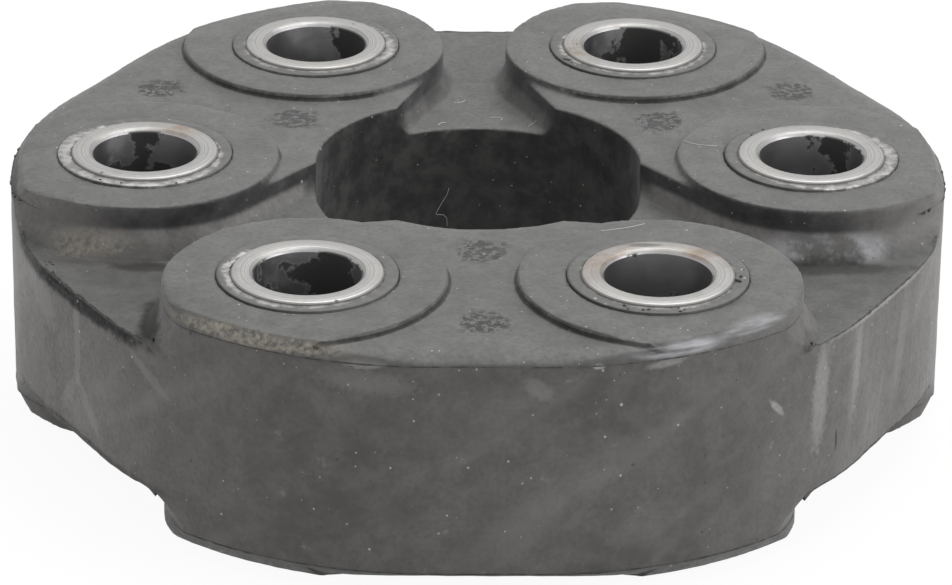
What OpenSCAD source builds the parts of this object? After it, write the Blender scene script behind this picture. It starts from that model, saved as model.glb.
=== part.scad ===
// Driveshaft flex disc: a rubber disc moulded over six steel sleeves and the cord loops that
// tie neighbouring sleeves together. The axis is Z, and the lower sleeve faces lie at Z = 0.

/* [Bolt circle] */
// Diameter of the circle through the bolt centres
bolt_circle_d = 78; // [72:1:100]

/* [Sleeves] */
// Length of a sleeve, which is the height over both clamping faces
sleeve_l = 30.5; // [26:0.5:45]
// Outer diameter of a sleeve
sleeve_od = 17.2; // [15:0.1:19]
// Diameter of the bolt bore
bore_d = 12.1; // [8:0.1:14]
// Chamfer at each mouth of the bore
bore_chamfer = 0.45; // [0.1:0.05:0.8]
// Chamfer on the outer edge of each sleeve end
sleeve_edge = 0.25; // [0.1:0.05:0.5]

/* [End collars] */
// Wall of the collar ring that shows around a sleeve end
collar_wall = 1.55; // [1:0.05:2.5]
// Collar ring's face below the sleeve end
collar_drop = 0.28; // [0.1:0.02:0.45]
// Underside of the collar's hidden flange below the sleeve end
flange_drop = 4.1; // [3:0.1:6]
// Thickness of the hidden flange
flange_t = 1.2; // [0.8:0.1:1.8]
// Lip of the flange past the cord that it holds
flange_lip = 0.8; // [0.4:0.1:1.5]

/* [Cord loops] */
// Thickness of the upper and lower cord wound on a sleeve
cord_wall = 4.4; // [3:0.1:5]
// Thickness of the middle cord wound on a sleeve
middle_cord_wall = 4.9; // [3:0.1:5.5]
// Height of an upper or lower loop
cord_h = 6; // [4:0.5:7]
// Rubber between a loop and the next loop or flange
cord_gap = 0.4; // [0.2:0.1:0.8]

/* [Rubber body] */
// Diameter of the hole through the centre
hole_d = 38; // [30:0.5:42]
// From a bolt centre out to the corner of the body
rim_w = 15.6; // [14.5:0.1:20]
// Radius of the rounded corners
corner_r = 42.9; // [25:0.5:50]
// Parting line of the mould below the sleeve end
parting_drop = 2.6; // [2.2:0.1:3]
// Set-back of the wall above the parting line
parting_step = 0.3; // [0.1:0.05:0.6]

/* [Pads and lobes] */
// Diameter of the pad around a sleeve end
pad_d = 31.4; // [29:0.1:34]
// Stretch of the pad outwards, to the corner of the body
pad_run = 1; // [1:0.5:4]
// Pad's face below the sleeve end
pad_drop = 0.5; // [0.3:0.05:1]
// Width of the rounded edge where a pad runs out to the rim
rim_run = 2.6; // [1.5:0.1:3.5]
// Fall of that edge where it leaves the pad's face
rim_fall = 8; // [5:1:15]
// Top of a lobe below the sleeve end
lobe_drop = 1.4; // [1.1:0.1:2]
// Width of the rounded outer edge of a lobe
crown_run = 3; // [1.5:0.1:5]
// Upright band between the rounded edges and the parting line
crown_land = 0.3; // [0.1:0.05:0.5]
// Lean of a lobe's side, against the line through its two bolt centres
side_lean = 9; // [0:1:20]

/* [Pockets] */
// Pocket floor at the centre hole below the sleeve end
floor_drop_hole = 5.1; // [4.5:0.1:8]
// Pocket floor at its neck below the sleeve end
floor_drop_neck = 5.6; // [4.5:0.1:8]
// From the axis to the step down to the sunken outer floor
neck_r = 34.5; // [30:0.5:38]
// Sunken floor at that step below the sleeve end
sunk_drop = 6.8; // [5:0.1:8.5]
// Width of the step
sunk_run = 1; // [0.5:0.1:2]
// Pocket floor at the corner radius below the sleeve end
floor_drop_rim = 6.2; // [4.5:0.1:9]
// Start of the flare at the foot of a lobe's wall below the sleeve end
flare_drop = 3.1; // [2.8:0.1:4]
// Radius of the hollow flare
flare_r = 6; // [3.5:0.1:8]
// Width of the flare
flare_w = 1.6; // [1:0.1:3.4]
// Angle of the flare to the wall where it starts
flare_lean = 14; // [5:1:30]

/* [Hidden] */
$fn = 96;
pair_count = 3;
bush_count = 2 * pair_count;
bush_pitch = 360 / bush_count;
half_pitch = bush_pitch / 2;
pair_pitch = 360 / pair_count;
// The front pair of bolts faces -Y
first_pair_angle = -90;
first_web_angle = first_pair_angle + bush_pitch;

bolt_r = bolt_circle_d / 2;
sleeve_r = sleeve_od / 2;
bore_r = bore_d / 2;
collar_r = sleeve_r + collar_wall;
cord_r = sleeve_r + cord_wall;
flange_r = cord_r + flange_lip;
pad_r = pad_d / 2;
hole_r = hole_d / 2;
body_r = bolt_r + rim_w;

// Heights above the middle plane, on which the body is symmetric
half_h = sleeve_l / 2;
pad_top = half_h - pad_drop;
lobe_top = half_h - lobe_drop;
parting_z = half_h - parting_drop;
flare_top = half_h - flare_drop;

// The block that a flare is cut from starts a little higher, inside the wall
flare_lift = 0.3;
flare_z = flare_top + flare_lift;

// Centre of a corner's arc and the distance from the axis to a flat of the outline
corner_c = body_r - corner_r;
flat_relief = 0.05;
flat_r = corner_c * cos(half_pitch) + corner_r - flat_relief - parting_step;

// A lobe's side runs from its pad, a hair inside the pad's edge, into the centre hole
side_relief = 0.15;
side_run = bolt_r / 2;

// The rounded rim of a pad falls along an arc from the pad's face to a band above the parting line
rim_r = corner_r - parting_step;
rim_drop = parting_drop - pad_drop - crown_land;
rim_chord_angle = atan(rim_drop / rim_run);
rim_arc_r = norm([rim_run, rim_drop]) / 2 / sin(rim_chord_angle - rim_fall);
rim_arc = [rim_r - rim_run, pad_top] - rim_arc_r * [sin(rim_fall), cos(rim_fall)];

// The rounded outer edge of a lobe falls from its top to the same band
crown_drop = parting_drop - lobe_drop - crown_land;
crown_r = (crown_run * crown_run + crown_drop * crown_drop) / (2 * crown_drop);

// Cord between the flanges: one loop above, one below, and the middle one takes up the rest
lower_cord_z = flange_drop + cord_gap;
middle_cord_z = lower_cord_z + cord_h + cord_gap;
upper_cord_z = sleeve_l - lower_cord_z - cord_h;
middle_cord_h = sleeve_l - 2 * middle_cord_z;
pair_half = bolt_r * sin(half_pitch);
band_relief = 0.2;

// Past every surface that a cut goes through
over = 5;

function turned(length, angle) = length * [cos(angle), sin(angle)];

// Bolt i, counted from the front left one
function bush_angle(i) = first_pair_angle - half_pitch + (i - 1) * bush_pitch;

module at_bush(i) {
    rotate(bush_angle(i))
        translate([bolt_r, 0, 0])
            children();
}

// One steel tube for a bolt, turned from bar, with its ends as the clamping faces
module sleeve() {
    color("silver")
        rotate_extrude()
            polygon([
                [bore_r + bore_chamfer, 0],
                [sleeve_r - sleeve_edge, 0],
                [sleeve_r, sleeve_edge],
                [sleeve_r, sleeve_l - sleeve_edge],
                [sleeve_r - sleeve_edge, sleeve_l],
                [bore_r + bore_chamfer, sleeve_l],
                [bore_r, sleeve_l - bore_chamfer],
                [bore_r, bore_chamfer]
            ]);
}

// Ring pressed on a sleeve end, with a flange under the rubber that keeps the cord in place
module upper_collar() {
    flange_z = sleeve_l - flange_drop;
    color("gray")
        rotate_extrude()
            polygon([
                [sleeve_r, flange_z],
                [flange_r, flange_z],
                [flange_r, flange_z + flange_t],
                [collar_r, flange_z + flange_t],
                [collar_r, sleeve_l - collar_drop],
                [sleeve_r, sleeve_l - collar_drop]
            ]);
}

module lower_collar() {
    translate([0, 0, sleeve_l])
        mirror([0, 0, 1])
            upper_collar();
}

// A section drawn outwards and upwards is pulled along X, with its outward side to +Y
module pulled(length) {
    rotate([90, 0, 90])
        linear_extrude(length)
            children();
}

// Straight part of a band round two bolts, which lies a hair inside the band's round ends
module band_run(reach) {
    square([2 * (reach - band_relief), 2 * pair_half], center = true);
}

// Outline of a band round the two bolts at +Y and -Y
module band(reach) {
    for (side = [-1, 1])
        translate([0, side * pair_half])
            circle(reach);
    band_run(reach);
}

// Puts a flat shape, drawn about the middle of a pair of bolts, in place and gives it its height
module at_pair(angle, z, height) {
    rotate(angle)
        translate([bolt_r * cos(half_pitch), 0, z])
            linear_extrude(height)
                children();
}

// Cord wound round two sleeves
module cord_loop(wall) {
    difference() {
        band(sleeve_r + wall);
        band(sleeve_r);
    }
}

// Room for that cord in the rubber, which stays between its two straight runs
module cord_seat(wall) {
    difference() {
        band(sleeve_r + wall);
        band_run(sleeve_r);
    }
}

module upper_cord_place(i) {
    at_pair(first_pair_angle + (i - 1) * pair_pitch, upper_cord_z, cord_h)
        children();
}

module lower_cord_place(i) {
    at_pair(first_pair_angle + (i - 1) * pair_pitch, lower_cord_z, cord_h)
        children();
}

module middle_cord_place(i) {
    at_pair(first_web_angle + (i - 1) * pair_pitch, middle_cord_z, middle_cord_h)
        children();
}

module upper_cord_loop(i) {
    color("tan")
        upper_cord_place(i)
            cord_loop(cord_wall);
}

module lower_cord_loop(i) {
    color("tan")
        lower_cord_place(i)
            cord_loop(cord_wall);
}

module middle_cord_loop(i) {
    color("tan")
        middle_cord_place(i)
            cord_loop(middle_cord_wall);
}

// Room in the rubber for a sleeve and its two collars
module bush_seat() {
    lower_half = [
        [0, -over],
        [collar_r, -over],
        [collar_r, flange_drop - flange_t],
        [flange_r, flange_drop - flange_t],
        [flange_r, flange_drop],
        [sleeve_r, flange_drop]
    ];
    rotate_extrude()
        polygon(concat(lower_half, [for (k = [5:-1:0]) [lower_half[k].x, sleeve_l - lower_half[k].y]]));
}

module at_corner(i) {
    rotate(bush_angle(i))
        translate([corner_c, 0, 0])
            children();
}

// Straight sides of the body's outline, a hexagon with very round corners, one at each bolt
module flats(arc_r) {
    polygon([
        for (i = [1:bush_count])
            for (turn = [-half_pitch, half_pitch])
                turned(corner_c, bush_angle(i)) + turned(arc_r - flat_relief, bush_angle(i) + turn)
    ]);
}

// Section of a corner above and below the parting lines, with the two rounded rims
module corner_section() {
    difference() {
        translate([0, -half_h])
            square([rim_r, 2 * half_h]);
        for (side = [0, 1])
            mirror([0, side])
                difference() {
                    translate([rim_arc.x, rim_arc.y])
                        square([rim_arc_r + over, rim_arc_r + over]);
                    translate(rim_arc)
                        circle(rim_arc_r);
                }
    }
}

// Outer wall, set back above and below the two parting lines
module wall_envelope() {
    linear_extrude(2 * parting_z, center = true) {
        for (i = [1:bush_count])
            at_corner(i)
                circle(corner_r);
        flats(corner_r);
    }
    for (i = [1:bush_count])
        at_corner(i)
            rotate_extrude()
                corner_section();
    linear_extrude(2 * half_h, center = true)
        flats(rim_r);
}

// Disc that carries the lobes; its faces are the floors of the pockets
module web() {
    upper_half = [
        [body_r + over, half_h - floor_drop_rim],
        [body_r, half_h - floor_drop_rim],
        [neck_r + sunk_run, half_h - sunk_drop],
        [neck_r, half_h - floor_drop_neck],
        [hole_r, half_h - floor_drop_hole],
        [0, half_h - floor_drop_hole]
    ];
    rotate_extrude()
        polygon(concat(upper_half, [for (k = [5:-1:0]) [upper_half[k].x, -upper_half[k].y]]));
}

// Section of a lobe's wall, measured from a bolt centre outwards, with the hollow flares
// where it meets the pocket floors
module wall_section(reach, top) {
    translate([0, -top])
        square([reach, 2 * top]);
    difference() {
        translate([0, -flare_z])
            square([reach + flare_w, 2 * flare_z]);
        for (side = [-1, 1])
            translate([reach + flare_r * cos(flare_lean), side * (flare_top + flare_r * sin(flare_lean))])
                circle(flare_r);
    }
}

// Strip that rounds the outer edge of a lobe along its flat
module crown_cut() {
    rotate([90, 0, 0])
        linear_extrude(2 * body_r, center = true)
            translate([flat_r - crown_run, lobe_top - crown_r])
                difference() {
                    square([crown_run + over, crown_r + over]);
                    circle(crown_r);
                }
}

// Raised lobe over the two bolts on either side of +X, on both faces
module lobe() {
    side_angle = 90 - side_lean;
    bush = turned(bolt_r, half_pitch);
    corner = turned((body_r + over) / cos(half_pitch), half_pitch);
    touch = bush + turned(pad_r - side_relief, side_angle + 90);
    inner = touch - turned(side_run, side_angle);
    half_plan = [inner, touch, bush, corner];
    difference() {
        linear_extrude(2 * lobe_top, center = true)
            polygon(concat(half_plan, [for (k = [3:-1:0]) [half_plan[k].x, -half_plan[k].y]]));
        crown_cut();
        mirror([0, 0, 1])
            crown_cut();
    }
    for (flip = [0, 1])
        mirror([0, flip, 0]) {
            translate(bush)
                rotate(side_angle)
                    translate([-side_run, 0, 0])
                        pulled(side_run)
                            wall_section(pad_r - side_relief, lobe_top);
            for (run = [0, pad_run])
                translate(bush + turned(run, half_pitch))
                    rotate_extrude()
                        wall_section(pad_r, pad_top);
        }
}

// The whole moulding about its middle plane, before the hole and the seats are cut
module moulding() {
    intersection() {
        wall_envelope();
        union() {
            web();
            for (i = [1:pair_count])
                rotate(first_pair_angle + (i - 1) * pair_pitch)
                    lobe();
        }
    }
}

// The rubber moulding, with a seat for each piece that is moulded in
module rubber_body() {
    color([0.16, 0.155, 0.15])
        difference() {
            difference() {
                translate([0, 0, half_h])
                    moulding();
                translate([0, 0, -over])
                    cylinder(h = sleeve_l + 2 * over, r = hole_r);
                for (i = [1:pair_count]) {
                    upper_cord_place(i)
                        cord_seat(cord_wall);
                    lower_cord_place(i)
                        cord_seat(cord_wall);
                    middle_cord_place(i)
                        cord_seat(middle_cord_wall);
                }
            }
            for (i = [1:bush_count])
                at_bush(i)
                    bush_seat();
        }
}

rubber_body();
for (i = [1:bush_count]) {
    at_bush(i) sleeve();
    at_bush(i) upper_collar();
    at_bush(i) lower_collar();
}
for (i = [1:pair_count]) {
    upper_cord_loop(i);
    lower_cord_loop(i);
    middle_cord_loop(i);
}
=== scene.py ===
import math
import random

import bmesh
import bpy
import numpy as np
from mathutils import Matrix, Vector
from mathutils.bvhtree import BVHTree


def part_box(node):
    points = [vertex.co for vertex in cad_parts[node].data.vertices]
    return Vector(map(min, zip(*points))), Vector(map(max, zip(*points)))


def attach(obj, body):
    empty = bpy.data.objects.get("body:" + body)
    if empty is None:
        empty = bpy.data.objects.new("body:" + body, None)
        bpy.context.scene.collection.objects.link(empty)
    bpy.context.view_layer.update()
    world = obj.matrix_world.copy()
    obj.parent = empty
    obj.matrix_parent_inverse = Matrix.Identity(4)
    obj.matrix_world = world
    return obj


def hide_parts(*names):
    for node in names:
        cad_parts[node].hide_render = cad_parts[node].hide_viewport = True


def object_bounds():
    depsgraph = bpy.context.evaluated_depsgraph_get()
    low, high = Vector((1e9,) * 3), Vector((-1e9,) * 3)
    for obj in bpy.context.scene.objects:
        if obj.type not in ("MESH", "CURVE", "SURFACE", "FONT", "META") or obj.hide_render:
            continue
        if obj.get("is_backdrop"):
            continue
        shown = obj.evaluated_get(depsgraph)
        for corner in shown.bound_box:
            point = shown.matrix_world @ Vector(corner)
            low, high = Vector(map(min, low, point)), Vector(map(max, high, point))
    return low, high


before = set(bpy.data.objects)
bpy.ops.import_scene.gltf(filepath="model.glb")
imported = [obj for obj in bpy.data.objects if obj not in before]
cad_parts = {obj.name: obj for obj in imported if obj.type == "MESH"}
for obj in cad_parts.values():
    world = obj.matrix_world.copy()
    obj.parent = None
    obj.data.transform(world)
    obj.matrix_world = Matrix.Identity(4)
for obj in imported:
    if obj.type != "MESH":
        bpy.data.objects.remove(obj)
cad_low, cad_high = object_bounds()


# The rubber body is one moulding of black rubber, pressed round the steel and the cord in a hot
# two-part mould. Rubber fills no corner sharply, so all edges of the solid are eased, and its
# faces swell and sink a little, as those of a moulding that was pulled from its mould do.
mm = 0.001
disc_h = cad_high.z
mould_grain = 0.25 * mm
rubber_triangles = 190000
bolt_r = 39 * mm
bolt_angles = [math.radians(a) for a in (-120, -60, 0, 60, 120, 180)]
lobe_angles = [math.radians(a) for a in (-90, 30, 150)]


def settle(piece):
    """Gives a piece the mesh that its modifiers make of it, and takes the modifiers off."""
    shaped = piece.evaluated_get(bpy.context.evaluated_depsgraph_get())
    mesh = bpy.data.meshes.new_from_object(shaped)
    piece.modifiers.clear()
    piece.data = mesh


def finish_piece(name, bm):
    """Makes a smooth piece of the disc from a bmesh, which rides with the solids."""
    mesh = bpy.data.meshes.new(name)
    bm.to_mesh(mesh)
    bm.free()
    mesh.shade_smooth()
    piece = bpy.data.objects.new(name, mesh)
    bpy.context.scene.collection.objects.link(piece)
    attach(piece, "root")
    return piece


def swell(piece, name, size, height, group=""):
    """Lets a surface rise and sink in soft lumps of one size, over the whole height given."""
    lumps = bpy.data.textures.new(name, "CLOUDS")
    lumps.noise_scale = size
    lumps.noise_depth = 2
    moved = piece.modifiers.new(name, "DISPLACE")
    moved.texture = lumps
    moved.texture_coords = "LOCAL"
    moved.strength = height
    moved.vertex_group = group


def rows_of(items, field):
    """Places or normals of all vertices of a mesh, one to a row."""
    values = np.empty(len(items) * 3)
    items.foreach_get(field, values)
    return values.reshape(-1, 3)


bm = bmesh.new()
bm.from_mesh(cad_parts["rubber_body"].data)
bmesh.ops.remove_doubles(bm, verts=bm.verts, dist=0.002 * mm)
rubber = finish_piece("rubber_moulding", bm)
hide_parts("rubber_body")
cast = rubber.modifiers.new("cast", "REMESH")
cast.mode = "VOXEL"
cast.voxel_size = mould_grain
ease = rubber.modifiers.new("ease", "SMOOTH")
ease.factor = 0.5
ease.iterations = 5
settle(rubber)

# A pad's border sags towards the rim as far as a plain edge, and from there the wall leans out to
# the parting line; the solid has one arc in place of both
corner_c = 11.7 * mm
rim_r = 42.6 * mm
arc_r = 3.519 * mm
arc_in = 3.09 * mm
arc_drop = 3.985 * mm
arc_slack = 0.3 * mm
border_in, border_drop = 3.8 * mm, 0.5 * mm
edge_in, edge_drop = 0.8 * mm, 0.95 * mm
foot_drop = 2.3 * mm
pad_c = bolt_r + 0.5 * mm
pad_reach = 16.3 * mm
points = rows_of(rubber.data.vertices, "co")
depth = np.minimum(points[:, 2], disc_h - points[:, 2])
downward = np.where(points[:, 2] > disc_h / 2, -1, 1)
for a in bolt_angles:
    way = np.array((math.cos(a), math.sin(a)))
    inward = rim_r - np.linalg.norm(points[:, :2] - corner_c * way, axis=1)
    on_pad = np.linalg.norm(points[:, :2] - pad_c * way, axis=1) < pad_reach
    step = np.clip(arc_in - inward, 0, arc_in)
    arc = np.maximum(arc_drop - np.sqrt(arc_r ** 2 - step ** 2), border_drop)
    edge = np.interp(inward, (0, edge_in, border_in), (foot_drop, edge_drop, border_drop))
    on_arc = on_pad & (np.abs(depth - arc) < arc_slack) & (inward > 0) & (inward < border_in)
    points[:, 2] += np.where(on_arc, downward * (edge - arc), 0)
rubber.data.vertices.foreach_set("co", points.ravel())

# Each lobe has two round spots on each face, left rough by plain plugs in the mould
plug_r = 2.8 * mm
plugs = [
    Vector((ring * math.cos(a), ring * math.sin(a), 0))
    for a in lobe_angles
    for ring in (25.2 * mm, 44 * mm)
]


def on_plugs(points, deepest):
    """Which points lie on a plug spot, at most that far below the ends of the disc."""
    found = np.zeros(len(points), dtype=bool)
    for plug in plugs:
        found |= np.hypot(points[:, 0] - plug.x, points[:, 1] - plug.y) < plug_r
    return found & (np.minimum(points[:, 2], disc_h - points[:, 2]) < deepest)


roughened = rubber.vertex_groups.new(name="plug_spots")
roughened.add(np.flatnonzero(on_plugs(points, 1.8 * mm)).tolist(), 1.0, "REPLACE")

swell(rubber, "flank_swell", 14 * mm, 0.18 * mm)
swell(rubber, "edge_ripple", 2.5 * mm, 0.08 * mm)
swell(rubber, "plug_grain", 0.6 * mm, 0.32 * mm, "plug_spots")
thin = rubber.modifiers.new("thin", "DECIMATE")
thin.ratio = rubber_triangles / (2 * len(rubber.data.polygons))
settle(rubber)
mesh = rubber.data
points = np.clip(rows_of(mesh.vertices, "co"), cad_low, cad_high)
mesh.vertices.foreach_set("co", points.ravel())
mesh.update()
mesh.shade_smooth()

# Marks on the surface that its colour follows: how hollow each place is, the walls unrolled round
# the axis, and the plug spots
normals = rows_of(mesh.vertices, "normal")
ends = np.empty(len(mesh.edges) * 2, dtype=np.int32)
mesh.edges.foreach_get("vertices", ends)
first, last = ends.reshape(-1, 2).T
total = len(points)


def gathered(at_first, at_last):
    """Sum, at each vertex, of the values that its edges bring to their two ends."""
    return np.bincount(first, at_first, total) + np.bincount(last, at_last, total)


across = points[last] - points[first]
span = (across ** 2).sum(axis=1)
edge_count = gathered(np.ones(len(first)), np.ones(len(first)))
hollow = gathered(
    (across * normals[first]).sum(axis=1) / span, -(across * normals[last]).sum(axis=1) / span,
)
hollow /= edge_count
for smoothing in range(3):
    hollow = (hollow + gathered(hollow[last], hollow[first]) / edge_count) / 2
spotted = on_plugs(points, 2.2 * mm).astype(float)
unroll_r = 50 * mm
round_axis = np.arctan2(points[:, 1], points[:, 0]) * unroll_r
unrolled = np.stack((round_axis, points[:, 2], np.hypot(points[:, 0], points[:, 1])), axis=1)
mesh.attributes.new("hollow", "FLOAT", "POINT").data.foreach_set("value", hollow * mm)
mesh.attributes.new("plug_mark", "FLOAT", "POINT").data.foreach_set("value", spotted)
mesh.attributes.new("unrolled", "FLOAT_VECTOR", "POINT").data.foreach_set("vector", unrolled.ravel())


def wire(tree, node, wires):
    """Links or sets inputs of a shader node."""
    for socket, value in wires.items():
        if isinstance(value, bpy.types.NodeSocket):
            tree.links.new(value, node.inputs[socket])
        else:
            node.inputs[socket].default_value = value


def place(tree, kind, wires=None, **settings):
    """Adds a shader node, with its settings, and wires or sets its inputs."""
    made = tree.nodes.new("ShaderNode" + kind)
    for key, value in settings.items():
        setattr(made, key, value)
    wire(tree, made, wires or {})
    return made


def math_of(tree, operation, *values):
    """One arithmetic step on shader values."""
    made = place(tree, "Math", dict(enumerate(values)), operation=operation)
    return made.outputs[0]


def vector_of(tree, operation, *vectors):
    """One arithmetic step on shader vectors."""
    made = place(tree, "VectorMath", dict(enumerate(vectors)), operation=operation)
    return made.outputs[0]


def times(tree, *values):
    """The product of shader values, such as masks."""
    product = values[0]
    for value in values[1:]:
        product = math_of(tree, "MULTIPLY", product, value)
    return product


def without(tree, mask):
    """The mask turned round: 1 where it was 0."""
    return math_of(tree, "SUBTRACT", 1.0, mask)


def between(tree, value, low, high):
    """A mask that goes from 0 at the low value to 1 at the high one."""
    wires = {"Value": value, "From Min": low, "From Max": high}
    return place(tree, "MapRange", wires, interpolation_type="SMOOTHSTEP").outputs["Result"]


def spread(tree, mask, low, high):
    """Values from the low one, where the mask is 0, to the high one, where it is 1."""
    wires = {"Value": mask, "To Min": low, "To Max": high}
    return place(tree, "MapRange", wires).outputs["Result"]


def mark_of(tree, name):
    """A mark that the vertices carry."""
    return place(tree, "Attribute", attribute_name=name).outputs["Fac"]


def bumps(tree, height, strength, distance):
    """Fine relief of the surface."""
    wires = {"Height": height, "Strength": strength, "Distance": distance}
    return place(tree, "Bump", wires).outputs["Normal"]


def blend(tree, mask, first, second):
    """The first colour where the mask is 0, and the second where it is 1."""
    made = place(tree, "Mix", {"Factor": mask}, data_type="RGBA")
    for socket, tone in ((6, first), (7, second)):
        linked = isinstance(tone, bpy.types.NodeSocket)
        wire(tree, made, {socket: tone if linked else (*tone, 1)})
    return made.outputs[2]


def grain(tree, where, scale, detail=3.0, roughness=0.55):
    """Soft noise between 0 and 1, with that many lumps to a metre."""
    wires = {"Vector": where, "Scale": scale, "Detail": detail, "Roughness": roughness}
    return place(tree, "TexNoise", wires).outputs["Fac"]


def new_material(name):
    """A material, its node tree and its Principled shader."""
    made = bpy.data.materials.new(name)
    made.use_nodes = True
    return made, made.node_tree, made.node_tree.nodes["Principled BSDF"]


def new_group(name, **inputs):
    """A shader node group that gives a mask. An input has its usual value, or None for a vector."""
    group = bpy.data.node_groups.new(name, "ShaderNodeTree")
    for label, usual in inputs.items():
        kind = "NodeSocketVector" if usual is None else "NodeSocketFloat"
        socket = group.interface.new_socket(label, in_out="INPUT", socket_type=kind)
        if usual is not None:
            socket.default_value = usual
    group.interface.new_socket("Mask", in_out="OUTPUT", socket_type="NodeSocketFloat")
    given = group.nodes.new("NodeGroupInput").outputs
    return group, given, group.nodes.new("NodeGroupOutput").inputs["Mask"]


def use_group(tree, group, wires):
    """Places a node group in a material and gives its mask."""
    made = tree.nodes.new("ShaderNodeGroup")
    made.node_tree = group
    wire(tree, made, wires)
    return made.outputs["Mask"]


# Dust from the shelf: specks of uneven form, each in a random place in its cell, and few cells
# have one
settled_dust, given, mask = new_group(
    "settled_dust", Where=None, Cells=400.0, Share=0.1, Size=0.12, Uneven=0.5,
)
cells = place(settled_dust, "TexVoronoi", {"Vector": given["Where"], "Scale": given["Cells"]}).outputs
picked = place(settled_dust, "SeparateColor", {"Color": cells["Color"]}).outputs
chosen = math_of(settled_dust, "LESS_THAN", picked["Red"], given["Share"])
uneven = math_of(settled_dust, "ADD", 0.3, given["Uneven"])
wide = times(settled_dust, given["Size"], uneven, math_of(settled_dust, "ADD", 0.5, picked["Green"]))
near = math_of(settled_dust, "LESS_THAN", cells["Distance"], wide)
settled_dust.links.new(times(settled_dust, chosen, near), mask)

# A soft-edged spot: 1 at its middle, 0 outside its reach, and wavy in between
wavy_spot, given, mask = new_group(
    "wavy_spot", Where=None, Middle=None, Reach=None, Wave=0.5, Ripple=0.5,
)
shifted = vector_of(wavy_spot, "SUBTRACT", given["Where"], given["Middle"])
scaled = vector_of(wavy_spot, "DIVIDE", shifted, given["Reach"])
away = place(wavy_spot, "VectorMath", {0: scaled}, operation="LENGTH").outputs["Value"]
ripple = times(wavy_spot, math_of(wavy_spot, "SUBTRACT", given["Ripple"], 0.5), given["Wave"])
wavy_spot.links.new(between(wavy_spot, math_of(wavy_spot, "ADD", away, ripple), 1.0, 0.45), mask)

# Smears on a wall that is unrolled round the axis: noise drawn out along one slope
drawn_smear, given, mask = new_group(
    "drawn_smear", Where=None, Slope=None, Stretch=None, Lumps=150.0, From=0.52, To=0.72,
)
lean = {"Vector": given["Where"], "Rotation": given["Slope"]}
sloped = place(drawn_smear, "VectorRotate", lean, rotation_type="EULER_XYZ").outputs[0]
drawn = vector_of(drawn_smear, "MULTIPLY", sloped, given["Stretch"])
smeared = grain(drawn_smear, drawn, given["Lumps"], 3.0, 0.6)
drawn_smear.links.new(between(drawn_smear, smeared, given["From"], given["To"]), mask)

rubber_material, tree, shader = new_material("moulded_rubber")
where = place(tree, "TexCoord").outputs["Object"]
wall_place = place(tree, "Attribute", attribute_name="unrolled").outputs["Vector"]
hollow_mark = mark_of(tree, "hollow")
plug_mark = mark_of(tree, "plug_mark")
spot = place(tree, "SeparateXYZ", {0: where}).outputs
face = place(tree, "SeparateXYZ", {0: place(tree, "NewGeometry").outputs["Normal"]}).outputs
from_axis = place(tree, "SeparateXYZ", {0: wall_place}).outputs["Z"]
outward = math_of(tree, "ADD", times(tree, spot["X"], face["X"]), times(tree, spot["Y"], face["Y"]))
outward = math_of(tree, "DIVIDE", outward, from_axis)
upward = between(tree, math_of(tree, "ABSOLUTE", face["Z"]), 0.25, 0.85)
upright = without(tree, upward)
hole_wall = times(tree, between(tree, from_axis, 21 * mm, 19.8 * mm), upright)
outer_wall = times(tree, between(tree, outward, 0.3, 0.75), upright)
cloudy = between(tree, grain(tree, where, 70.0, 4.0, 0.6), 0.32, 0.68)
ripple = grain(tree, where, 330.0, 4.0, 0.65)
mottle = between(tree, ripple, 0.35, 0.7)
grit = grain(tree, where, 1700.0, 2.0, 0.6)
fine = between(tree, grit, 0.4, 0.7)
mid_h = disc_h / 2
from_middle = math_of(tree, "ABSOLUTE", math_of(tree, "SUBTRACT", spot["Z"], mid_h))
depth = math_of(tree, "SUBTRACT", mid_h, from_middle)
# The flare at the foot of each pocket wall, where light from above is painted on, less of it towards the
# back
flare_foot = between(tree, spot["Z"], 22.9 * mm, 23.7 * mm)
flare_top = between(tree, spot["Z"], 27.6 * mm, 26.9 * mm)
less_behind = place(tree, "MapRange", {
    "Value": spot["Y"], "From Min": -5 * mm, "From Max": 20 * mm, "To Min": 1.0, "To Max": 0.35,
}).outputs["Result"]
on_flare = times(tree, flare_foot, flare_top, less_behind)

# Painted light and shade by facing: the pocket walls are painted dark, partly as shade and partly as
# cleaner rubber, and their flares are painted lighter as light from above
shaded = blend(tree, cloudy, (0.020, 0.020, 0.022), (0.036, 0.036, 0.039))
lit_flare = blend(tree, mottle, (0.125, 0.121, 0.118), (0.20, 0.192, 0.182))
outer = blend(tree, cloudy, (0.050, 0.046, 0.045), (0.084, 0.078, 0.076))
# The outer wall is painted lighter towards the sides, as sheen at a glancing angle
side_sheen = between(tree, math_of(tree, "ABSOLUTE", spot["X"]), 12 * mm, 46 * mm)
outer = blend(tree, times(tree, side_sheen, 0.3), outer, (0.145, 0.138, 0.132))
top = blend(tree, cloudy, (0.055, 0.055, 0.052), (0.090, 0.090, 0.085))
colour = blend(tree, on_flare, shaded, lit_flare)
colour = blend(tree, outer_wall, colour, outer)
# The wall of the hole is painted nearly black, as shade
colour = blend(tree, hole_wall, colour, (0.008, 0.008, 0.008))
colour = blend(tree, upward, colour, top)
floor_shade = (0.03, 0.029, 0.027)
floors = times(tree, upward, between(tree, depth, 4 * mm, 5 * mm))
front_floor = times(tree, floors, between(tree, spot["Y"], -2 * mm, -12 * mm))
colour = blend(tree, times(tree, floors, 0.07), colour, floor_shade)
colour = blend(tree, times(tree, front_floor, 0.46), colour, floor_shade)
# Upward faces are painted darker towards the front, as shade from light that falls from behind
front_shade = times(tree, upward, between(tree, spot["Y"], 15 * mm, -45 * mm))
colour = blend(tree, times(tree, front_shade, 0.16), colour, (0.03, 0.03, 0.029))
colour = blend(tree, times(tree, mottle, 0.2), colour, (0.19, 0.187, 0.178))
colour = blend(tree, times(tree, fine, 0.16), colour, (0.03, 0.029, 0.028))
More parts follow.
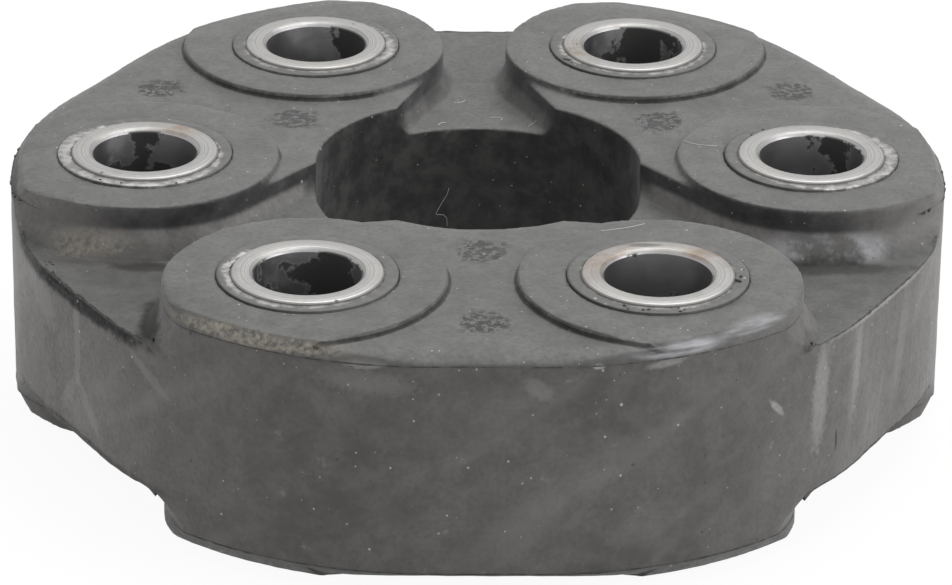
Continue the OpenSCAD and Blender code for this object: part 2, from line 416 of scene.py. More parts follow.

# The step from each pad down to its lobe gets painted shade, and rougher rubber further down: the disc
# is folded on its lobes, so that one pad stands for all
turn = math_of(tree, "ADD", math_of(tree, "ARCTAN2", spot["Y"], spot["X"]), math.pi / 2)
lobe_pitch = math.tau / 3
lobe_turn = times(tree, math_of(tree, "ROUND", math_of(tree, "DIVIDE", turn, lobe_pitch)), lobe_pitch)
turn = math_of(tree, "ABSOLUTE", math_of(tree, "SUBTRACT", turn, lobe_turn))
turn = math_of(tree, "SUBTRACT", turn, math.pi / 6)
ahead = times(tree, from_axis, math_of(tree, "COSINE", turn))
aside = times(tree, from_axis, math_of(tree, "SINE", turn))
pad_run = bolt_r + 1 * mm
on_run = place(tree, "MapRange", {
    "Value": ahead, "From Min": bolt_r, "From Max": pad_run, "To Min": bolt_r, "To Max": pad_run,
}).outputs["Result"]
ahead = math_of(tree, "SUBTRACT", ahead, on_run)
from_pad = math_of(tree, "SQRT", math_of(tree, "ADD", times(tree, ahead, ahead), times(tree, aside, aside)))
step = times(
    tree,
    between(tree, from_pad, 15.55 * mm, 15.7 * mm), between(tree, from_pad, 16.1 * mm, 15.9 * mm),
    between(tree, depth, 0.8 * mm, 0.95 * mm), between(tree, aside, 1.5 * mm, -2 * mm),
    between(tree, depth, 2.2 * mm, 1.8 * mm), spread(tree, mottle, 0.95, 0.6),
)
colour = blend(tree, step, colour, (0.016, 0.015, 0.014))

# Edges are painted pale, partly as wear and partly as a painted highlight, and the hollows get painted
# shade
wear_and_highlight = times(tree, between(tree, hollow_mark, -0.35, -0.8), between(tree, mottle, 0.0, 0.6))
hollow_shade = between(tree, hollow_mark, 0.2, 0.34)
colour = blend(tree, times(tree, wear_and_highlight, 0.5), colour, (0.22, 0.216, 0.21))
colour = blend(tree, times(tree, hollow_shade, 0.65), colour, (0.022, 0.021, 0.020))
crumbly = between(tree, grain(tree, where, 1500.0, 2.0, 0.6), 0.44, 0.5)
colour = blend(tree, times(tree, plug_mark, crumbly, 0.92), colour, (0.006, 0.006, 0.006))

# Smears of release wax on the outer walls: broad and slanting at the front, upright on the right,
# and small scuffs all round
slanting = use_group(tree, drawn_smear, {
    "Where": wall_place, "Slope": (0, 0, 0.9), "Stretch": (1, 0.3, 0), "Lumps": 90.0,
})
colour = blend(tree, times(tree, slanting, outer_wall, 0.34), colour, (0.2, 0.19, 0.185))
scuffs = use_group(tree, drawn_smear, {
    "Where": wall_place, "Slope": (0, 0, 0.8), "Stretch": (1, 0.7, 0),
    "Lumps": 330.0, "From": 0.6, "To": 0.78,
})
colour = blend(tree, times(tree, scuffs, outer_wall, fine, 0.6), colour, (0.24, 0.23, 0.22))
upright_streaks = use_group(tree, drawn_smear, {
    "Where": wall_place, "Slope": (0, 0, 0.12), "Stretch": (1, 0.14, 0),
    "Lumps": 260.0, "From": 0.48, "To": 0.7,
})
on_right = use_group(tree, wavy_spot, {
    "Where": where, "Middle": (0.043, -0.031, 0.0165), "Reach": (0.018, 0.028, 0.016), "Ripple": ripple,
})
colour = blend(tree, times(tree, upright_streaks, on_right, outer_wall, 0.2), colour, (0.3, 0.295, 0.29))

# Single marks on the unrolled walls, each a slanting spot: place round the axis, height, slope, half
# length and half width, strength and tone
ragged = times(tree, math_of(tree, "ADD", ripple, grit), 0.5)
rubbed = spread(tree, fine, 0.6, 1.0)
# Rougher rubber on the painted shade of the steps, on the black marks and on the dark spots below
soil_and_shade = step
pale, paler, black = (0.26, 0.26, 0.255), (0.34, 0.335, 0.33), (0.006, 0.006, 0.006)
for around, height, slope, long, wide, strength, tone in (
    (-0.1305, 0.0185, 1.57, 0.0078, 0.0010, 0.40, pale),
    (-0.1326, 0.0112, 0.94, 0.0042, 0.0012, 0.35, pale),
    (-0.1281, 0.0110, -0.81, 0.0052, 0.0013, 0.35, pale),
    (-0.1302, 0.0095, 0.0, 0.0036, 0.0028, 0.25, pale),
    (-0.1160, 0.0202, -0.60, 0.0048, 0.0008, 0.30, pale),
    (-0.1390, 0.0208, -0.6, 0.0052, 0.0028, 0.35, pale),
    (-0.0907, 0.0258, -0.1, 0.0062, 0.0018, 0.24, pale),
    (-0.0732, 0.0253, -0.7, 0.0022, 0.0012, 0.32, pale),
    (-0.0400, 0.0180, 1.52, 0.0085, 0.0016, 0.48, paler),
    (-0.0330, 0.0190, 1.45, 0.0080, 0.0010, 0.30, paler),
    (-0.0466, 0.0187, -0.9, 0.0017, 0.0005, 0.75, paler),
    (-0.0908, 0.0279, 0.0, 0.0030, 0.0006, 0.50, paler),
    (-0.0599, 0.0274, 0.1, 0.0028, 0.0006, 0.45, paler),
    (-0.0671, 0.0278, 0.0, 0.0008, 0.0004, 0.80, paler),
    (-0.0262, 0.0240, 0.0, 0.0150, 0.0005, 0.60, paler),
    (-0.1309, 0.0237, 0.0, 0.0185, 0.0017, 1.40, black),
    (-0.1309, 0.0063, 0.0, 0.0185, 0.0010, 0.80, black),
    (-0.0420, 0.0248, 0.5, 0.0016, 0.0011, 0.85, black),
):
    shifted = vector_of(tree, "SUBTRACT", wall_place, (around, height, 0))
    lean = {"Vector": shifted, "Angle": -slope, "Axis": (0, 0, 1)}
    leaning = place(tree, "VectorRotate", lean).outputs[0]
    mark = use_group(tree, wavy_spot, {
        "Where": leaning, "Middle": (0, 0, 0), "Reach": (long, wide, 1), "Wave": 1.8, "Ripple": ragged,
    })
    mark = times(tree, mark, outer_wall, rubbed, strength)
    colour = blend(tree, mark, colour, tone)
    if tone == black:
        soil_and_shade = math_of(tree, "MAXIMUM", soil_and_shade, mark)

# Stains, painted sheen and painted shadow: brown stains along the front left rim and on the left pocket's
# flare, a painted bluish sheen on the front right rim and the right pocket's flare, painted shadow in the
# corners of the pockets, and dirt on the left rim
streaky = use_group(tree, drawn_smear, {
    "Where": wall_place, "Slope": (0, 0, 0), "Stretch": (0.2, 1.5, 0),
    "Lumps": 700.0, "From": 0.3, "To": 0.7,
})
speckled = between(tree, grit, 0.28, 0.72)
tan, sheen_blue, shadow_and_dirt = (0.275, 0.248, 0.206), (0.36, 0.36, 0.385), (0.018, 0.017, 0.016)
for centre, reach, wave, strength, tone in (
    ((-0.0255, -0.0475, 0.0287), (0.014, 0.012, 0.0011), 0.5, times(tree, speckled, 0.8), tan),
    ((-0.0455, -0.0155, 0.0257), (0.008, 0.003, 0.0022), 0.9, times(tree, speckled, 0.6), tan),
    # Painted bluish sheen, as a highlight on the front right rim and on the right pocket's flare
    ((0.0210, -0.0490, 0.0287), (0.0065, 0.008, 0.0010), 0.4, times(tree, streaky, 0.9), sheen_blue),
    ((0.0295, -0.0445, 0.0291), (0.0050, 0.008, 0.0007), 0.4, times(tree, streaky, 0.75), sheen_blue),
    ((0.0400, -0.0164, 0.0256), (0.013, 0.004, 0.0022), 0.5, times(tree, mottle, 0.65), sheen_blue),
    # The first three dark spots are painted shadow in the corners of the pockets, the last is dirt on the
    # left rim
    ((-0.0378, -0.0189, 0.0242), (0.0065, 0.0017, 0.0012), 0.7, 0.80, shadow_and_dirt),
    ((0.0405, -0.0186, 0.0242), (0.0110, 0.0024, 0.0014), 0.7, 0.70, shadow_and_dirt),
    ((-0.0366, -0.0340, 0.0246), (0.0023, 0.0085, 0.0034), 0.8, 1.0, shadow_and_dirt),
    ((-0.0543, -0.0030, 0.0283), (0.0013, 0.0120, 0.0016), 0.4, 0.65, shadow_and_dirt),
):
    stain = use_group(tree, wavy_spot, {
        "Where": where, "Middle": centre, "Reach": reach, "Wave": wave, "Ripple": ripple,
    })
    stain = times(tree, stain, strength)
    colour = blend(tree, stain, colour, tone)
    if tone == shadow_and_dirt:
        soil_and_shade = math_of(tree, "MAXIMUM", soil_and_shade, stain)
slit = use_group(tree, wavy_spot, {
    "Where": where, "Middle": (0.03985, -0.03625, 0.0111), "Reach": (0.0003, 0.0003, 0.0019),
    "Wave": 0.3, "Ripple": ripple,
})
colour = blend(tree, slit, colour, (0.01, 0.01, 0.01))

# Pale dust in two sizes, and dark specks
pale_dust, dark_speck = (0.5, 0.49, 0.47), (0.02, 0.02, 0.02)
for cells, share, size, strength, tone in (
    (480.0, 0.32, 0.07, 0.55, pale_dust),
    (1000.0, 0.24, 0.11, 0.38, pale_dust),
    (620.0, 0.12, 0.11, 0.60, dark_speck),
):
    specks = use_group(tree, settled_dust, {
        "Where": where, "Cells": cells, "Share": share, "Size": size, "Uneven": grit,
    })
    colour = blend(tree, times(tree, specks, strength), colour, tone)
matt = math_of(tree, "ADD", spread(tree, cloudy, 0.48, 0.64), times(tree, fine, 0.1))
wire(tree, shader, {
    "Base Color": colour,
    "Roughness": math_of(tree, "ADD", matt, times(tree, soil_and_shade, 0.4)),
    "Specular IOR Level": 0.45,
    "Sheen Weight": 0.1,
    "Sheen Roughness": 0.4,
    "Normal": bumps(tree, math_of(tree, "ADD", grit, ripple), 0.45, 0.09 * mm),
})
mesh.materials.append(rubber_material)


# The sleeves are cut from steel tube and faced on a lathe. They carry the clamping load of the
# bolts, so their ends stand proud of the rubber, which is bonded to their outside.
bolts = range(1, 7)
lathe_steps = 128
bore_r = 6.05 * mm
mouth = 0.45 * mm
edge = 0.25 * mm
broken_edge = 0.05 * mm
sharp_angle = math.radians(25)


def sector(middle, half_width, most=1.0):
    """A mark that is strongest towards one direction, in degrees, and fades to 0 on both sides."""
    def strength(angle):
        apart = abs((math.degrees(angle) - middle + 180) % 360 - 180)
        return most * max(0.0, 1 - apart / half_width)
    return strength


def turned_piece(name, outline, axis, painted):
    """A ring turned from its closed outline of radii and heights, round an upright axis. Each painted
    mark is the sum of the sectors given for it."""
    bm = bmesh.new()
    corners = [bm.verts.new((axis.x + r, axis.y, z)) for r, z in outline]
    edges = [bm.edges.new((a, b)) for a, b in zip(corners, corners[1:] + corners[:1])]
    bmesh.ops.spin(
        bm, geom=corners + edges, cent=axis, axis=(0, 0, 1), angle=math.tau,
        steps=lathe_steps, use_merge=True,
    )
    bmesh.ops.remove_doubles(bm, verts=bm.verts, dist=0.001 * mm)
    bmesh.ops.recalc_face_normals(bm, faces=bm.faces)
    sharp = [e for e in bm.edges if e.calc_face_angle(0) > sharp_angle]
    bmesh.ops.bevel(
        bm, geom=sharp, offset=broken_edge, offset_type="OFFSET", segments=2, profile=0.5,
        affect="EDGES", material=-1,
    )
    from_axis = bm.verts.layers.float_vector.new("from_axis")
    marks = {mark: bm.verts.layers.float.new(mark) for mark in painted}
    for v in bm.verts:
        v[from_axis] = v.co - Vector((axis.x, axis.y, 0))
        angle = math.atan2(v.co.y - axis.y, v.co.x - axis.x)
        for mark, layer in marks.items():
            v[layer] = sum(strength(angle) for strength in painted[mark])
    return finish_piece(name, bm)


def axial(tree):
    """Distance from the axis of a turned piece, in the shader."""
    spot = place(tree, "Attribute", attribute_name="from_axis").outputs["Vector"]
    flat = vector_of(tree, "MULTIPLY", spot, (1, 1, 0))
    return place(tree, "VectorMath", {0: flat}, operation="LENGTH").outputs["Value"]


sleeve_steel, tree, shader = new_material("turned_sleeve_steel")
where = place(tree, "TexCoord").outputs["Object"]
radius = axial(tree)
brown = mark_of(tree, "brown")
residue = mark_of(tree, "residue")
tool_marks = {"W": times(tree, radius, 1500.0), "Detail": 2.0}
rings = place(tree, "TexNoise", tool_marks, noise_dimensions="1D").outputs["Fac"]
scuffed = grain(tree, where, 700.0, 5.0, 0.7)
tarnish = between(tree, grain(tree, where, 170.0, 5.0, 0.65), 0.46, 0.72)
colour = blend(tree, between(tree, rings, 0.35, 0.65), (0.26, 0.257, 0.25), (0.395, 0.39, 0.38))
colour = blend(tree, times(tree, between(tree, scuffed, 0.5, 0.75), 0.4), colour, (0.2, 0.195, 0.19))
colour = blend(tree, times(tree, tarnish, 0.25), colour, (0.27, 0.235, 0.2))
browned = times(tree, brown, between(tree, grain(tree, where, 330.0, 4.0, 0.6), 0.3, 0.65))
colour = blend(tree, times(tree, browned, 0.75), colour, (0.20, 0.135, 0.09))
in_bore = between(tree, radius, bore_r + 0.25 * mm, bore_r + 0.05 * mm)
film = math_of(tree, "ADD", grain(tree, where, 240.0, 4.0, 0.6), times(tree, residue, 0.26))
film = times(tree, between(tree, film, 0.61, 0.67), in_bore)
colour = blend(tree, times(tree, in_bore, 0.85), colour, (0.35, 0.345, 0.355))
colour = blend(tree, film, colour, (0.02, 0.02, 0.019))
specks = use_group(tree, settled_dust, {
    "Where": where, "Cells": 800.0, "Share": 0.1, "Size": 0.2, "Uneven": scuffed,
})
smudge = use_group(tree, wavy_spot, {
    "Where": where, "Middle": (0.0182, -0.0264, 0.0305), "Reach": (0.0026, 0.0007, 0.002),
    "Wave": 0.8, "Ripple": scuffed,
})
specks = times(tree, math_of(tree, "MAXIMUM", specks, smudge), without(tree, in_bore))
colour = blend(tree, times(tree, specks, 0.8), colour, (0.06, 0.055, 0.05))
# The sleeve's outer chamfer is painted dark, as shade in the groove that it makes with the collar
groove_shade_on_sleeve = between(tree, radius, 8.42 * mm, 8.58 * mm)
colour = blend(tree, times(tree, groove_shade_on_sleeve, 0.8), colour, (0.04, 0.038, 0.036))
bare = without(tree, math_of(tree, "MAXIMUM", film, math_of(tree, "MAXIMUM", specks, groove_shade_on_sleeve)))
wire(tree, shader, {
    "Base Color": colour,
    "Metallic": bare,
    "Roughness": math_of(tree, "ADD", spread(tree, bare, 0.6, 0.36), times(tree, tarnish, 0.14)),
    "Normal": bumps(tree, rings, 0.5, 0.03 * mm),
})

# Brown tint of the faces and dry residue in the bores, by direction
brown_tints = {
    1: [], 2: [sector(45, 50), sector(150, 70)], 3: [],
    4: [sector(200, 40)], 5: [], 6: [sector(60, 30)],
}
residues = {
    1: [sector(60, 160)], 2: [], 3: [sector(40, 80)],
    4: [sector(70, 60)], 5: [sector(35, 60)], 6: [sector(100, 60)],
}
axes = {}
for i in bolts:
    low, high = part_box("sleeve_%d" % i)
    axes[i] = Vector(((low.x + high.x) / 2, (low.y + high.y) / 2, 0))
    sleeve_r = (high.x - low.x) / 2
    sleeve = turned_piece("turned_sleeve_%d" % i, [
        (bore_r + mouth, low.z), (sleeve_r - edge, low.z), (sleeve_r, low.z + edge),
        (sleeve_r, high.z - edge), (sleeve_r - edge, high.z), (bore_r + mouth, high.z),
        (bore_r, high.z - mouth), (bore_r, low.z + mouth),
    ], axes[i], {"brown": brown_tints[i], "residue": residues[i]})
    sleeve.data.materials.append(sleeve_steel)
    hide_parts("sleeve_%d" % i)


# The end collars are steel rings pressed on the sleeve ends, with a wide flange that keeps the
# cord in place. The mould leaves a skin of rubber on their faces, scraped off in places. A dark line
# is painted round their outer edge as the shadow in a gap where the rubber has pulled away, and the
# groove between sleeve and collar gets painted shade too.
collar_r = 10.15 * mm
collar_inner_r = 8.6 * mm
collar_drop = 0.28 * mm
flange_t = 1.2 * mm

collar_steel, tree, shader = new_material("skinned_collar_steel")
where = place(tree, "TexCoord").outputs["Object"]
radius = axial(tree)
scrape = mark_of(tree, "scrape")
shaded_gap = mark_of(tree, "shaded_gap")
across_face = {"Value": radius, "From Min": collar_inner_r, "From Max": collar_r}
outward = place(tree, "MapRange", across_face).outputs["Result"]
ragged = grain(tree, where, 800.0, 5.0, 0.65)
mottle = between(tree, ragged, 0.35, 0.7)
bare = math_of(tree, "SUBTRACT", scrape, times(tree, outward, 0.9))
bare = math_of(tree, "ADD", bare, times(tree, math_of(tree, "SUBTRACT", ragged, 0.5), 0.9))
bare = between(tree, bare, -0.05, 0.35)
colour = blend(tree, mottle, (0.072, 0.071, 0.069), (0.105, 0.104, 0.101))
steel = blend(tree, between(tree, ragged, 0.4, 0.6), (0.20, 0.196, 0.19), (0.36, 0.355, 0.345))
colour = blend(tree, bare, colour, steel)
flecks = use_group(tree, settled_dust, {
    "Where": where, "Cells": 900.0, "Share": 0.2, "Size": 0.16, "Uneven": ragged,
})
colour = blend(tree, times(tree, flecks, 0.6), colour, (0.45, 0.44, 0.43))
# Painted shade: dark in the groove between collar and sleeve, and in the gap at the collar's outer edge
groove_shade = between(tree, radius, 8.85 * mm, 8.65 * mm)
gap_shadow = times(tree, between(tree, radius, collar_r - 0.28 * mm, collar_r - 0.1 * mm), shaded_gap)
groove_and_gap_shade = math_of(tree, "MAXIMUM", times(tree, groove_shade, between(tree, ragged, 0.62, 0.45)), gap_shadow)
colour = blend(tree, times(tree, groove_and_gap_shade, 0.85), colour, (0.012, 0.012, 0.012))
shiny = times(tree, bare, without(tree, groove_and_gap_shade))
wire(tree, shader, {
    "Base Color": colour,
    "Metallic": shiny,
    "Roughness": spread(tree, shiny, 0.62, 0.4),
    "Normal": bumps(tree, ragged, 0.4, 0.05 * mm),
})

# Bare steel, and the painted shadow of the gaps round each collar, by direction
scrapes = {
    1: [sector(-110, 90, 0.65), sector(165, 60, 0.6)],
    2: [sector(-80, 80, 0.5)],
    3: [sector(0, 90), sector(-80, 70)],
    4: [sector(-60, 90, 0.7), sector(-170, 50, 0.5)],
    5: [sector(-130, 60, 0.5), sector(-20, 90, 0.9)],
    6: [sector(180, 90, 1.2), sector(-80, 110, 1.2)],
}
shaded_gaps = {
    1: [sector(-150, 75)], 2: [sector(-160, 85)], 3: [sector(-165, 80)],
    4: [sector(-130, 70)], 5: [sector(-60, 50)], 6: [sector(-120, 60)],
}
for i in bolts:
    low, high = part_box("upper_collar_%d" % i)
    flange_r = (high.x - low.x) / 2
    outline = [
        (sleeve_r, low.z), (flange_r, low.z), (flange_r, low.z + flange_t),
        (collar_r, low.z + flange_t), (collar_r, high.z), (sleeve_r, high.z),
    ]
    for side in ("upper", "lower"):
        if side == "lower":
            outline = [(r, disc_h - z) for r, z in outline]
        collar = turned_piece("%s_end_collar_%d" % (side, i), outline, axes[i],
                              {"scrape": scrapes[i], "shaded_gap": shaded_gaps[i]})
        collar.data.materials.append(collar_steel)
        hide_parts("%s_collar_%d" % (side, i))


# The cord loops are many turns of polyester cord, wound round two sleeves each and sealed in the
# rubber. Nothing of them shows from outside.
cord_material, tree, shader = new_material("wound_cord")
where = place(tree, "TexCoord").outputs["Object"]
turns = place(tree, "TexWave", {"Vector": where, "Scale": 380.0, "Distortion": 0.6, "Detail": 2.0},
              bands_direction="Z").outputs["Fac"]
fibres = grain(tree, where, 3000.0, 3.0)
colour = blend(tree, turns, (0.28, 0.21, 0.12), (0.6, 0.5, 0.34))
colour = blend(tree, times(tree, fibres, 0.4), colour, (0.66, 0.58, 0.43))
wire(tree, shader, {
    "Base Color": colour, "Roughness": 0.8, "Normal": bumps(tree, turns, 0.8, 0.3 * mm),
})
for level in ("upper", "lower", "middle"):
    for k in (1, 2, 3):
        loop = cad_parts["%s_cord_loop_%d" % (level, k)]
        loop.data.materials.clear()
        loop.data.materials.append(cord_material)


# Flash is the skin of rubber pressed out where the two halves of the mould meet. It is torn off by
# hand, and ragged rests of it stay on the parting lines and on the outer edges of the pockets.
parting_drop = 2.6 * mm
clear_of_disc = 70 * mm
dice = random.Random(11)
skin = BVHTree.FromObject(rubber, bpy.context.evaluated_depsgraph_get())

flash_rubber, tree, shader = new_material("torn_flash_rubber")
where = place(tree, "TexCoord").outputs["Object"]
mottle = between(tree, grain(tree, where, 900.0, 4.0, 0.6), 0.35, 0.7)
colour = blend(tree, mottle, (0.018, 0.018, 0.017), (0.075, 0.073, 0.07))
wire(tree, shader, {"Base Color": colour, "Roughness": 0.6})


def outward_at(angle):
    """The level direction away from the axis."""
    return Vector((math.cos(angle), math.sin(angle), 0))


def spot_at(angle, far, z):
    """The place in that direction, that far from the axis and that high."""
    return far * outward_at(angle) + Vector((0, 0, z))


def wall_at(angle, z):
    """How far from the axis a level line from outside meets the rubber."""
    spot = skin.ray_cast(spot_at(angle, clear_of_disc, z), -outward_at(angle))[0]
    return math.hypot(spot.x, spot.y)


def kept_inside(spot):
    """The place, or the nearest one within the size of the disc."""
    return [min(max(c, lo), hi) for c, lo, hi in zip(spot, cad_low, cad_high)]


def torn_strip(bm, rows):
    """A strip through rows of points of equal length, kept within the size of the disc."""
    chains = []
    for row in rows:
        corners = [bm.verts.new(kept_inside(spot)) for spot in row]
        chains.append([bm.edges.new(pair) for pair in zip(corners, corners[1:])])
    for chain, following in zip(chains, chains[1:]):
        bmesh.ops.bridge_loops(bm, edges=chain + following)


def torn_heights(count, usual, tear):
    """Heights along a torn edge: mostly near the usual one, in places none or several times it."""
    knots = []
    for k in range(count // 3 + 2):
        chance = dice.random()
        if chance < tear:
            knots.append(0.15)
        elif chance < 0.94:
            knots.append(dice.uniform(0.5, 1.3))
        else:
            knots.append(dice.uniform(1.5, 2.6))
    return [
        usual * dice.uniform(0.85, 1.15) * np.interp(k / 3, range(len(knots)), knots)
        for k in range(count)
    ]


def ragged_lump(bm, form, size, unevenness):
    """A small lump of uneven form, kept within the size of the disc."""
    made = bmesh.ops.create_icosphere(bm, subdivisions=1, radius=size, matrix=form)
    for v in made["verts"]:
        v.co += Vector([dice.uniform(-unevenness, unevenness) * size for axis in range(3)])
        v.co = kept_inside(v.co)


bm = bmesh.new()
for lobe in lobe_angles:
    for face_z, inner in ((disc_h, -1), (0, 1)):
        z = face_z + inner * parting_drop
        rows = [[], [], []]
        for k, reach in zip(range(-123, 124), torn_heights(247, 0.06 * mm, 0.25)):
            a = lobe + math.radians(0.35 * k)
            far = wall_at(a, z + inner * 0.25 * mm)
            rows[0].append(spot_at(a, far - 0.45 * mm, z - inner * 0.12 * mm))
            rows[1].append(spot_at(a, far + reach, z - inner * 0.3 * reach))
            rows[2].append(spot_at(a, far - 0.1 * mm, z + inner * 0.2 * mm))
        torn_strip(bm, rows)

hidden_lip = 0.05 * mm
least_pocket = 5.4 * mm
lips = {-30: (0.05 * mm, 0.4), 90: (0.04 * mm, 0.4), 210: (0.3 * mm, 0.2)}
for web, (usual, tear) in lips.items():
    for face_z, inner in ((disc_h, -1), (0, 1)):
        rows = [[], [], []]
        heights = torn_heights(141, usual if inner < 0 else hidden_lip, tear)
        for k, height in zip(range(-70, 71), heights):
            a = math.radians(web + 0.3 * k)
            far = wall_at(a, face_z + inner * 7.2 * mm)
            above = spot_at(a, far - 0.5 * mm, face_z - inner * 5 * mm)
            floor_z = skin.ray_cast(above, Vector((0, 0, inner)))[0].z
            if abs(floor_z - face_z) < least_pocket:
                continue
            rows[0].append(spot_at(a, far - 0.4 * mm, floor_z + inner * 0.1 * mm))
            rows[1].append(spot_at(a, far - 0.03 * mm, floor_z - inner * height))
            rows[2].append(spot_at(a, far - 0.08 * mm, floor_z + inner * 0.5 * mm))
        torn_strip(bm, rows)

# Thicker rests of it stay as lumps at the far left and the far right
parting_z = disc_h - parting_drop
for start, stop, count in ((173, 190, 15), (-13, 1, 9)):
    for k in range(count):
        a = math.radians(dice.uniform(start, stop))
        far = wall_at(a, parting_z - 0.3 * mm)
        size = dice.uniform(0.14, 0.34) * mm
        form = Matrix.Translation(spot_at(a, far + 0.1 * size, parting_z - 0.1 * mm))
        form = form @ Matrix.Rotation(a, 4, "Z")
        form = form @ Matrix.Diagonal((0.8, dice.uniform(1.0, 2.2), dice.uniform(0.7, 1.2), 1))
        ragged_lump(bm, form, size, 0.25)
bmesh.ops.recalc_face_normals(bm, faces=bm.faces)
flash = finish_piece("torn_flash", bm)
flash.data.materials.append(flash_rubber)


# Crumbs of rubber lie on the disc where flash was torn off, most of them beside the sleeves and a
# few along the left pocket's edge, stuck to the surface below them.
def ground_at(x, y):
    """Height of the rubber, or of a collar, under a place on the upper face."""
    if any(math.hypot(x - axis.x, y - axis.y) < collar_r for axis in axes.values()):
        return disc_h - collar_drop
    return skin.ray_cast(Vector((x, y, disc_h + 5 * mm)), Vector((0, 0, -1)))[0].z


crumb_beds = [
    ((-0.0503, -0.0165), (-0.0487, -0.0195), 4, 0.2 * mm),
    ((0.0278, -0.0360), (0.0289, -0.0325), 7, 0.26 * mm),
    ((0.0150, -0.0425), (0.0235, -0.0430), 8, 0.16 * mm),
    ((-0.0275, -0.0290), (-0.0285, -0.0350), 6, 0.16 * mm),
    ((0.0345, 0.0078), (0.0300, 0.0040), 6, 0.16 * mm),
    ((-0.0330, -0.0080), (-0.0440, -0.0085), 7, 0.15 * mm),
    ((0.0100, 0.0300), (0.0130, 0.0270), 5, 0.2 * mm),
]
bm = bmesh.new()
for start, stop, count, size in crumb_beds:
    for k in range(count):
        along = dice.random()
        x = start[0] + along * (stop[0] - start[0]) + dice.gauss(0, 0.35) * mm
        y = start[1] + along * (stop[1] - start[1]) + dice.gauss(0, 0.35) * mm
        radius = size * dice.uniform(0.4, 1.2)
        form = Matrix.Translation((x, y, ground_at(x, y) + 0.25 * radius))
        form = form @ Matrix.Rotation(dice.uniform(0, math.tau), 4, "Z")
        flattened = (dice.uniform(0.7, 1.8), dice.uniform(0.6, 1.1), dice.uniform(0.5, 0.9), 1)
        ragged_lump(bm, form @ Matrix.Diagonal(flattened), radius, 0.3)
crumbs = finish_piece("rubber_crumbs", bm)
crumbs.data.materials.append(flash_rubber)


# Lint is a few loose textile fibres, thin and pale, that the packing left. They lie on the rubber as
# they fell, one of them on the wall of the hole, and nothing fixes them but their own cling.
lint_material, tree, shader = new_material("pale_lint")
wire(tree, shader, {"Base Color": (0.55, 0.54, 0.52, 1), "Roughness": 0.8})
strands = bpy.data.curves.new("lint", "CURVE")
strands.dimensions = "3D"
strands.bevel_depth = 0.035 * mm
strands.bevel_resolution = 1


def strand(spots):
    """One fibre through a row of places."""
    line = strands.splines.new("POLY")
    line.points.add(len(spots) - 1)
    for point, spot in zip(line.points, spots):
        point.co = (*spot, 1)


step_count = 40
steps = [k / step_count for k in range(step_count + 1)]

# One fibre hangs on the wall of the hole
fibre_r = 18.94 * mm
bends = (0, 0.12, 0.35, 0.58, 0.64, 0.8, 0.9, 1)
directions = (99.6, 100.2, 102.2, 104.2, 104.3, 101.4, 100.3, 100.1)
heights = (17.6, 16.8, 15.7, 14.5, 14.2, 14.1, 13.6, 12.6)
strand([
    spot_at(math.radians(np.interp(t, bends, directions)), fibre_r, np.interp(t, bends, heights) * mm)
    for t in steps
])

# The others lie on the upper side: place in millimetres, length, heading and curl
for x, y, length, heading, curl in (
    (13.5, -21.5, 5.4, 0.1, 0.8), (24.3, 4.6, 4.2, -0.9, 1.6), (3.0, 21.6, 2.2, 0.4, 6.0),
    (-2.6, 27.5, 2.0, -0.8, 4.0), (-3.5, 20.4, 1.6, 2.0, 5.0), (7.4, 20.2, 1.5, 2.4, 4.0),
):
    spots = []
    px, py = x * mm, y * mm
    for t in steps:
        way = heading + curl * t * (1 - 0.5 * t)
        px += math.cos(way) * length * mm / step_count
        py += math.sin(way) * length * mm / step_count
        spots.append((px, py, ground_at(px, py) + 0.03 * mm))
    strand(spots)
holder = bpy.data.objects.new("lint_strands", strands)
bpy.context.scene.collection.objects.link(holder)
bm = bmesh.new()
shaped = holder.evaluated_get(bpy.context.evaluated_depsgraph_get())
bm.from_mesh(bpy.data.meshes.new_from_object(shaped))
bpy.data.objects.remove(holder)
lint = finish_piece("lint", bm)
lint.data.materials.append(lint_material)


# The stand: a plain white floor and soft light from above, with more of it from the right.
bm = bmesh.new()
bmesh.ops.create_grid(bm, x_segments=1, y_segments=1, size=3.0)
floor_mesh = bpy.data.meshes.new("floor")
bm.to_mesh(floor_mesh)
bm.free()
floor = bpy.data.objects.new("floor", floor_mesh)
bpy.context.scene.collection.objects.link(floor)
floor.location.z = cad_low.z - 0.02 * mm
floor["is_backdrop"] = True


def seen_directly(tree):
    """1 for rays from the camera and for what they mirror, 0 for light that bounces on."""
    rays = place(tree, "LightPath").outputs
    mirrored = math_of(tree, "MAXIMUM", rays["Is Glossy Ray"], rays["Is Transmission Ray"])
    return math_of(tree, "MAXIMUM", rays["Is Camera Ray"], mirrored)


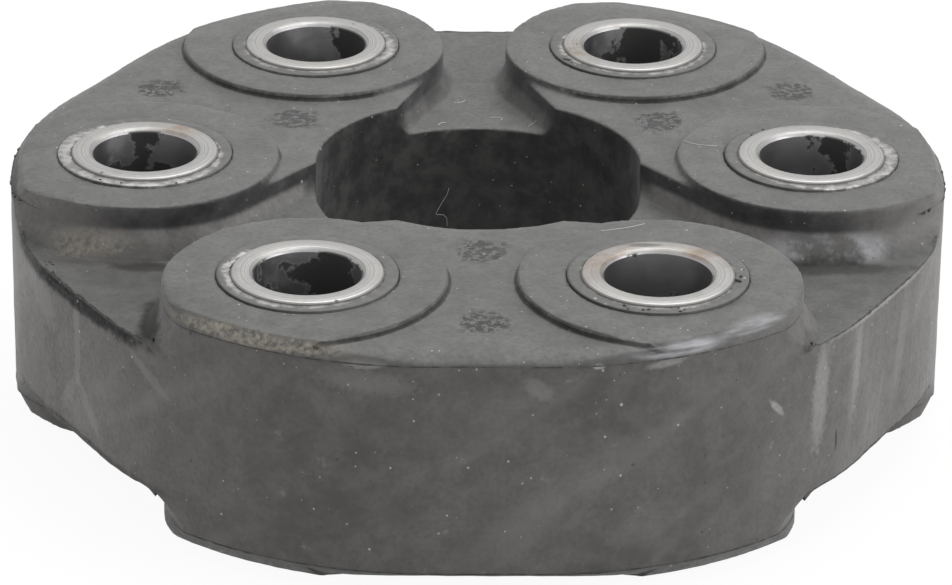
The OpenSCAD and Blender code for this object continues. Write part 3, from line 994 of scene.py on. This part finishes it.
white_floor = bpy.data.materials.new("white_floor")
white_floor.use_nodes = True
tree = white_floor.node_tree
tree.nodes.remove(tree.nodes["Principled BSDF"])
seen = seen_directly(tree)
matt_white = place(tree, "BsdfDiffuse", {"Color": (0.85, 0.85, 0.85, 1)}).outputs[0]
glow = place(tree, "Emission", {"Color": (1, 1, 1, 1), "Strength": 1.0}).outputs[0]
lit = place(tree, "MixShader", {"Fac": times(tree, seen, 0.94), 1: matt_white, 2: glow}).outputs[0]
tree.links.new(lit, tree.nodes["Material Output"].inputs["Surface"])
floor_mesh.materials.append(white_floor)

world = bpy.data.worlds.new("white_room")
bpy.context.scene.world = world
world.use_nodes = True
tree = world.node_tree
seen = seen_directly(tree)
glow = spread(tree, seen, 0.55, 1.0)
tree.nodes["Background"].inputs["Color"].default_value = (1, 1, 1, 1)
tree.links.new(glow, tree.nodes["Background"].inputs["Strength"])


def soft_lamp(name, place_at, size, power):
    """A square lamp that faces the middle of the disc."""
    lamp = bpy.data.lights.new(name, "AREA")
    lamp.size = size
    lamp.energy = power
    holder = bpy.data.objects.new(name, lamp)
    bpy.context.scene.collection.objects.link(holder)
    holder.location = place_at
    holder.rotation_euler = (-Vector(place_at)).to_track_quat("-Z", "Y").to_euler()


soft_lamp("overhead", (0.15, 0.25, 0.9), 0.9, 8.6)
soft_lamp("right_side", (0.8, -0.35, 0.5), 0.5, 3.8)

# The camera stands a little left of the front and looks down at 25 degrees, as in the photograph
photo_w = 952
focal_px = 5215.58
stand_off = 610.28 * mm
across, upward_shift = -0.29 * mm, -16.52 * mm
azimuth, elevation, roll = (math.radians(a) for a in (-1.1334, 24.8247, 0.7619))
level = math.cos(elevation)
back = Vector((math.sin(azimuth) * level, -math.cos(azimuth) * level, math.sin(elevation)))
level_right = Vector((0, 0, 1)).cross(back).normalized()
level_up = back.cross(level_right)
right = math.cos(roll) * level_right + math.sin(roll) * level_up
up = back.cross(right)
lens = bpy.data.cameras.new("camera")
lens.sensor_width = 36
lens.lens = lens.sensor_width * focal_px / photo_w
lens.clip_start = 0.01
camera = bpy.data.objects.new("camera", lens)
bpy.context.scene.collection.objects.link(camera)
stand = Vector((0, 0, disc_h)) + stand_off * back + across * right + upward_shift * up
camera.matrix_world = Matrix.Translation(stand) @ Matrix((right, up, back)).transposed().to_4x4()
bpy.context.scene.camera = camera
bpy.context.scene.view_settings.view_transform = "Standard"

low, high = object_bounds()
